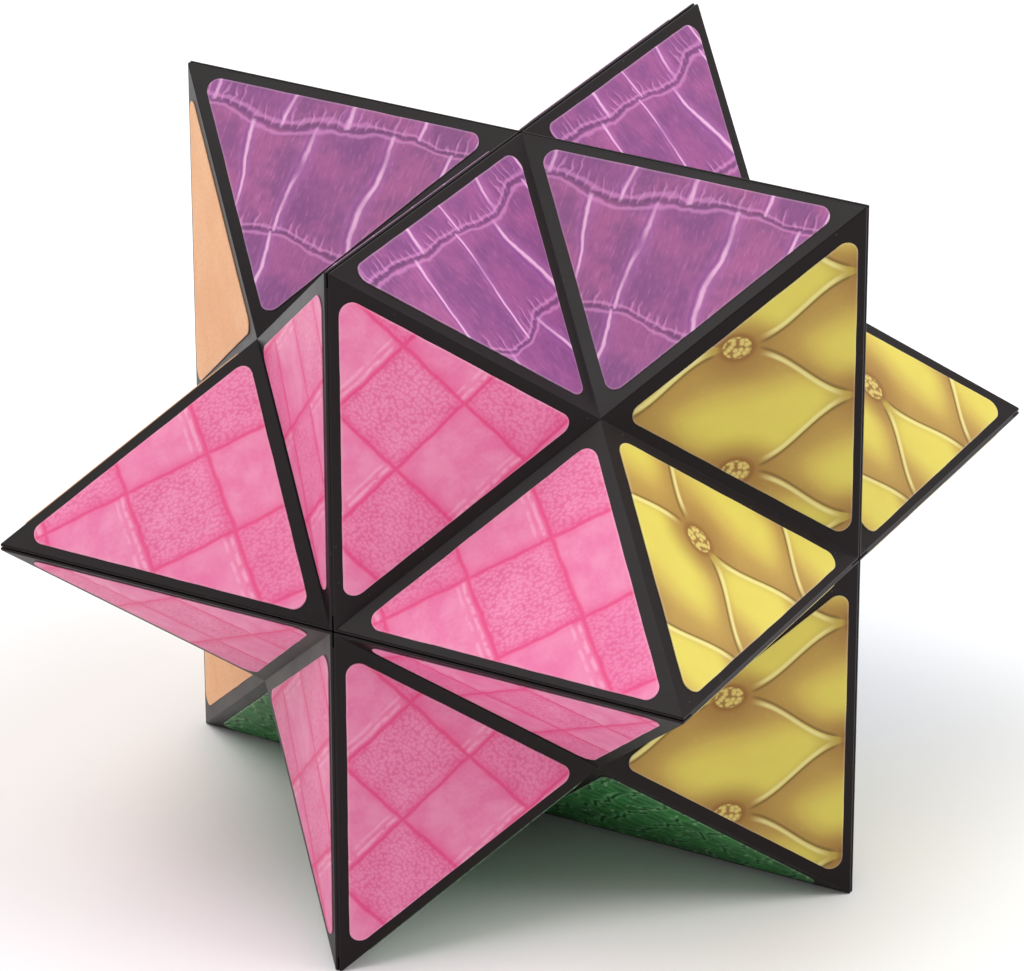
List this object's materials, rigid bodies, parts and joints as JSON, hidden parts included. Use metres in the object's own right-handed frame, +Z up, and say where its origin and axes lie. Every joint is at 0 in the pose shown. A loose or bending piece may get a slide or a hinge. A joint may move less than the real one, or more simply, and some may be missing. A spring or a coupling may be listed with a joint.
{
  "type": "folding star puzzle",
  "caption": "Hand puzzle of hinged hollow corner blocks in a closed loop; closed up it is a star with four-sided spikes, and it folds out about the star's long ridges.",
  "frame": {"origin": "middle of the closed star, which is the middle of the cube it fills", "axes": "+Z up from the bottom hub to the top hub, -Y towards the front hub, +X towards the right hub; rest pose is the closed star"},
  "size_m": [0.07, 0.07, 0.07],
  "materials": {
    "shell_plastic": "moulded gloss black",
    "cap_plastic": "moulded black, satin",
    "hinge_film": "thin flexible black film",
    "label_top": "printed purple crocodile-leather pattern, satin film",
    "label_front": "printed pink patchwork-leather pattern, satin film",
    "label_right": "printed gold button-tufted pattern, satin film",
    "label_left": "printed orange fine-leather pattern, satin film",
    "label_bottom": "printed green snake-leather pattern, satin film",
    "label_back": "printed blue leather pattern, satin film"
  },
  "bodies": {
    "lower_left_front": {"star_shell_lower_left_front": "shell_plastic", "corner_cap_lower_left_front": "cap_plastic", "leaf_left_lower_on_lower_left_front": "hinge_film", "leaf_front_lower_on_lower_left_front": "hinge_film", "labels_left_on_lower_left_front": "label_left", "labels_front_on_lower_left_front": "label_front", "labels_bottom_on_lower_left_front": "label_bottom"},
    "lower_left_back": {"star_shell_lower_left_back": "shell_plastic", "corner_cap_lower_left_back": "cap_plastic", "leaf_left_lower_on_lower_left_back": "hinge_film", "leaf_back_lower_on_lower_left_back": "hinge_film", "labels_left_on_lower_left_back": "label_left", "labels_back_on_lower_left_back": "label_back", "labels_bottom_on_lower_left_back": "label_bottom"},
    "lower_right_front": {"star_shell_lower_right_front": "shell_plastic", "corner_cap_lower_right_front": "cap_plastic", "leaf_front_lower_on_lower_right_front": "hinge_film", "leaf_right_front_on_lower_right_front": "hinge_film", "labels_right_on_lower_right_front": "label_right", "labels_front_on_lower_right_front": "label_front", "labels_bottom_on_lower_right_front": "label_bottom"},
    "lower_right_back": {"star_shell_lower_right_back": "shell_plastic", "corner_cap_lower_right_back": "cap_plastic", "leaf_back_lower_on_lower_right_back": "hinge_film", "leaf_right_back_on_lower_right_back": "hinge_film", "labels_right_on_lower_right_back": "label_right", "labels_back_on_lower_right_back": "label_back", "labels_bottom_on_lower_right_back": "label_bottom"},
    "upper_left_front": {"star_shell_upper_left_front": "shell_plastic", "corner_cap_upper_left_front": "cap_plastic", "leaf_left_upper_on_upper_left_front": "hinge_film", "leaf_front_upper_on_upper_left_front": "hinge_film", "labels_left_on_upper_left_front": "label_left", "labels_front_on_upper_left_front": "label_front", "labels_top_on_upper_left_front": "label_top"},
    "upper_left_back": {"star_shell_upper_left_back": "shell_plastic", "corner_cap_upper_left_back": "cap_plastic", "leaf_left_upper_on_upper_left_back": "hinge_film", "leaf_back_upper_on_upper_left_back": "hinge_film", "labels_left_on_upper_left_back": "label_left", "labels_back_on_upper_left_back": "label_back", "labels_top_on_upper_left_back": "label_top"},
    "upper_right_front": {"star_shell_upper_right_front": "shell_plastic", "corner_cap_upper_right_front": "cap_plastic", "leaf_front_upper_on_upper_right_front": "hinge_film", "leaf_right_front_on_upper_right_front": "hinge_film", "labels_right_on_upper_right_front": "label_right", "labels_front_on_upper_right_front": "label_front", "labels_top_on_upper_right_front": "label_top"},
    "upper_right_back": {"star_shell_upper_right_back": "shell_plastic", "corner_cap_upper_right_back": "cap_plastic", "leaf_back_upper_on_upper_right_back": "hinge_film", "leaf_right_back_on_upper_right_back": "hinge_film", "labels_right_on_upper_right_back": "label_right", "labels_back_on_upper_right_back": "label_back", "labels_top_on_upper_right_back": "label_top"}
  },
  "joints": [
    {"name": "left_fold_lower", "type": "hinge", "parent": "lower_left_back", "child": "lower_left_front", "pos_m": [-0.03505, 0, 0], "axis": [0, 0, -1], "range_deg": [0, 180]},
    {"name": "front_fold_lower", "type": "hinge", "parent": "lower_left_front", "child": "lower_right_front", "pos_m": [0, -0.03505, 0], "axis": [0, 0, -1], "range_deg": [0, 180]},
    {"name": "back_fold_lower", "type": "hinge", "parent": "lower_left_back", "child": "lower_right_back", "pos_m": [0, 0.03505, 0], "axis": [0, 0, 1], "range_deg": [0, 180]},
    {"name": "right_fold", "type": "hinge", "parent": "lower_left_back", "child": "upper_left_back", "pos_m": [0.03505, 0, 0], "axis": [0, -1, 0], "range_deg": [-180, 0]},
    {"name": "left_fold_upper", "type": "hinge", "parent": "upper_left_back", "child": "upper_left_front", "pos_m": [-0.03505, 0, 0], "axis": [0, 0, -1], "range_deg": [0, 180]},
    {"name": "front_fold_upper", "type": "hinge", "parent": "upper_left_front", "child": "upper_right_front", "pos_m": [0, -0.03505, 0], "axis": [0, 0, -1], "range_deg": [0, 180]},
    {"name": "back_fold_upper", "type": "hinge", "parent": "upper_left_back", "child": "upper_right_back", "pos_m": [0, 0.03505, 0], "axis": [0, 0, 1], "range_deg": [0, 180]}
  ],
  "couplings": [
    {"joint": "left_fold_upper", "follows": "left_fold_lower", "ratio": 1},
    {"joint": "back_fold_upper", "follows": "back_fold_lower", "ratio": 1},
    {"joint": "front_fold_upper", "follows": "front_fold_lower", "ratio": 1}
  ]
}
